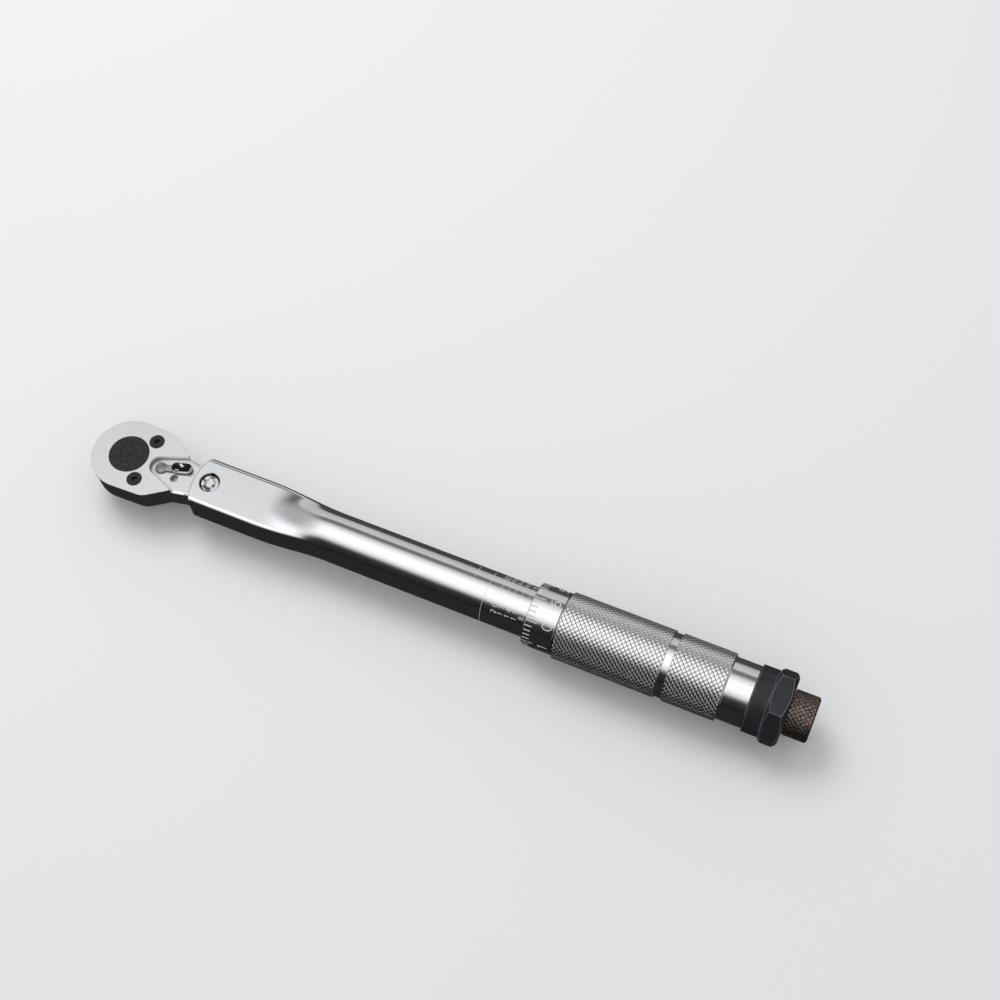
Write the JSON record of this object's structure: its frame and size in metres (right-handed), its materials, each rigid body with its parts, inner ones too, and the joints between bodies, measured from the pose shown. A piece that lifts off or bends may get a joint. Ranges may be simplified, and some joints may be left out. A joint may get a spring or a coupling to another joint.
{
  "type": "click torque wrench",
  "caption": "Click torque wrench: pear-shaped reversible ratchet head on a tube that pivots inside it, micrometer handle over a spring, hexagon end nut and lock knob.",
  "frame": {"origin": "where the square drive's axis crosses the tube's axis", "axes": "+X along the wrench from head to lock knob, +Z out of the cover plate, the square drive points to -Z"},
  "size_m": [0.2747, 0.0278, 0.0265],
  "materials": {
    "chrome_satin": "satin chrome plate, fine grain",
    "chrome": "bright chrome plate with faint hairlines",
    "black_oxide": "matt black oxide on ground steel",
    "black_oxide_blue": "blued black oxide, slightly glossy",
    "bronze_oxide": "brown-black oxide over a diamond knurl",
    "steel": "ground steel",
    "spring_steel": "drawn spring wire, lightly oiled",
    "ball_steel": "polished bearing steel",
    "brass": "turned brass"
  },
  "bodies": {
    "tube": {"tube": "chrome", "pivot_pin": "chrome", "tube_nut": "steel", "tube_nut_pins": "steel", "main_spring": "spring_steel"},
    "head": {"ratchet_head": "chrome_satin", "cover_plate": "chrome_satin", "cover_screws": "black_oxide"},
    "drive": {"drive_gear": "black_oxide", "socket_ball_spring": "spring_steel"},
    "socket_ball": {"socket_ball": "ball_steel"},
    "lever": {"reversing_lever": "chrome", "selector_spring": "spring_steel"},
    "selector_plunger": {"selector_plunger": "brass"},
    "pawl": {"pawl": "steel"},
    "thrust_plunger": {"thrust_plunger": "steel"},
    "tilt_block": {"tilt_block": "steel"},
    "spring_seat": {"spring_seat": "steel", "thrust_ball": "ball_steel"},
    "handle": {"handle_sleeve": "chrome", "end_nut": "black_oxide_blue", "adjusting_screw": "steel", "lock_balls": "ball_steel", "knob_ring": "spring_steel"},
    "lock_knob": {"lock_knob": "bronze_oxide"},
    "lock_rod": {"lock_rod": "steel"}
  },
  "joints": [
    {"name": "head_click", "type": "hinge", "parent": "tube", "child": "head", "pos_m": [0.0341, 0, 0], "axis": [0, 0, 1], "range_deg": [0, 2]},
    {"name": "drive_spin", "type": "hinge", "parent": "head", "child": "drive", "pos_m": [0, 0, 0], "axis": [0, 0, 1], "continuous": true},
    {"name": "socket_ball_press", "type": "slide", "parent": "drive", "child": "socket_ball", "axis": [-1, 0, 0], "range_m": [0, 0.0005], "stiffness_N_per_m": 400, "deforming": ["socket_ball_spring"]},
    {"name": "lever_flip", "type": "hinge", "parent": "head", "child": "lever", "pos_m": [0.0132, 0, 0.0023], "axis": [0, 0, 1], "range_deg": [-34, 0]},
    {"name": "selector_plunger_press", "type": "slide", "parent": "lever", "child": "selector_plunger", "axis": [0.9563, 0.2924, 0], "range_m": [0, 0.0003], "stiffness_N_per_m": 300, "deforming": ["selector_spring"]},
    {"name": "pawl_swing", "type": "hinge", "parent": "head", "child": "pawl", "pos_m": [0.019, 0, 0], "axis": [0, 0, 1], "range_deg": [-8, 0]},
    {"name": "thrust_slide", "type": "slide", "parent": "tube", "child": "thrust_plunger", "axis": [1, 0, 0], "range_m": [0, 0.00165], "deforming": ["main_spring"]},
    {"name": "block_tilt", "type": "hinge", "parent": "thrust_plunger", "child": "tilt_block", "pos_m": [0.08445, 0.0027, 0], "axis": [0, 0, 1], "range_deg": [-16, 0]},
    {"name": "seat_travel", "type": "slide", "parent": "tube", "child": "spring_seat", "axis": [-1, 0, 0], "range_m": [0, 0.01286], "deforming": ["main_spring"]},
    {"name": "handle_turn", "type": "hinge", "parent": "spring_seat", "child": "handle", "pos_m": [0.2, 0, 0], "axis": [-1, 0, 0], "range_deg": [0, 1837]},
    {"name": "knob_turn", "type": "hinge", "parent": "handle", "child": "lock_knob", "pos_m": [0.256, 0, 0], "axis": [-1, 0, 0], "range_deg": [0, 360]},
    {"name": "rod_slide", "type": "slide", "parent": "handle", "child": "lock_rod", "axis": [-1, 0, 0], "range_m": [0, 0.001]}
  ],
  "couplings": [
    {"joint": "thrust_slide", "follows": "head_click", "m_per_rad": 0.047264},
    {"joint": "block_tilt", "follows": "head_click", "ratio": -7.999},
    {"joint": "pawl_swing", "follows": "lever_flip", "ratio": 0.23527},
    {"joint": "seat_travel", "follows": "handle_turn", "m_per_rad": 0.00040107},
    {"joint": "rod_slide", "follows": "knob_turn", "m_per_rad": 0.00015914}
  ]
}
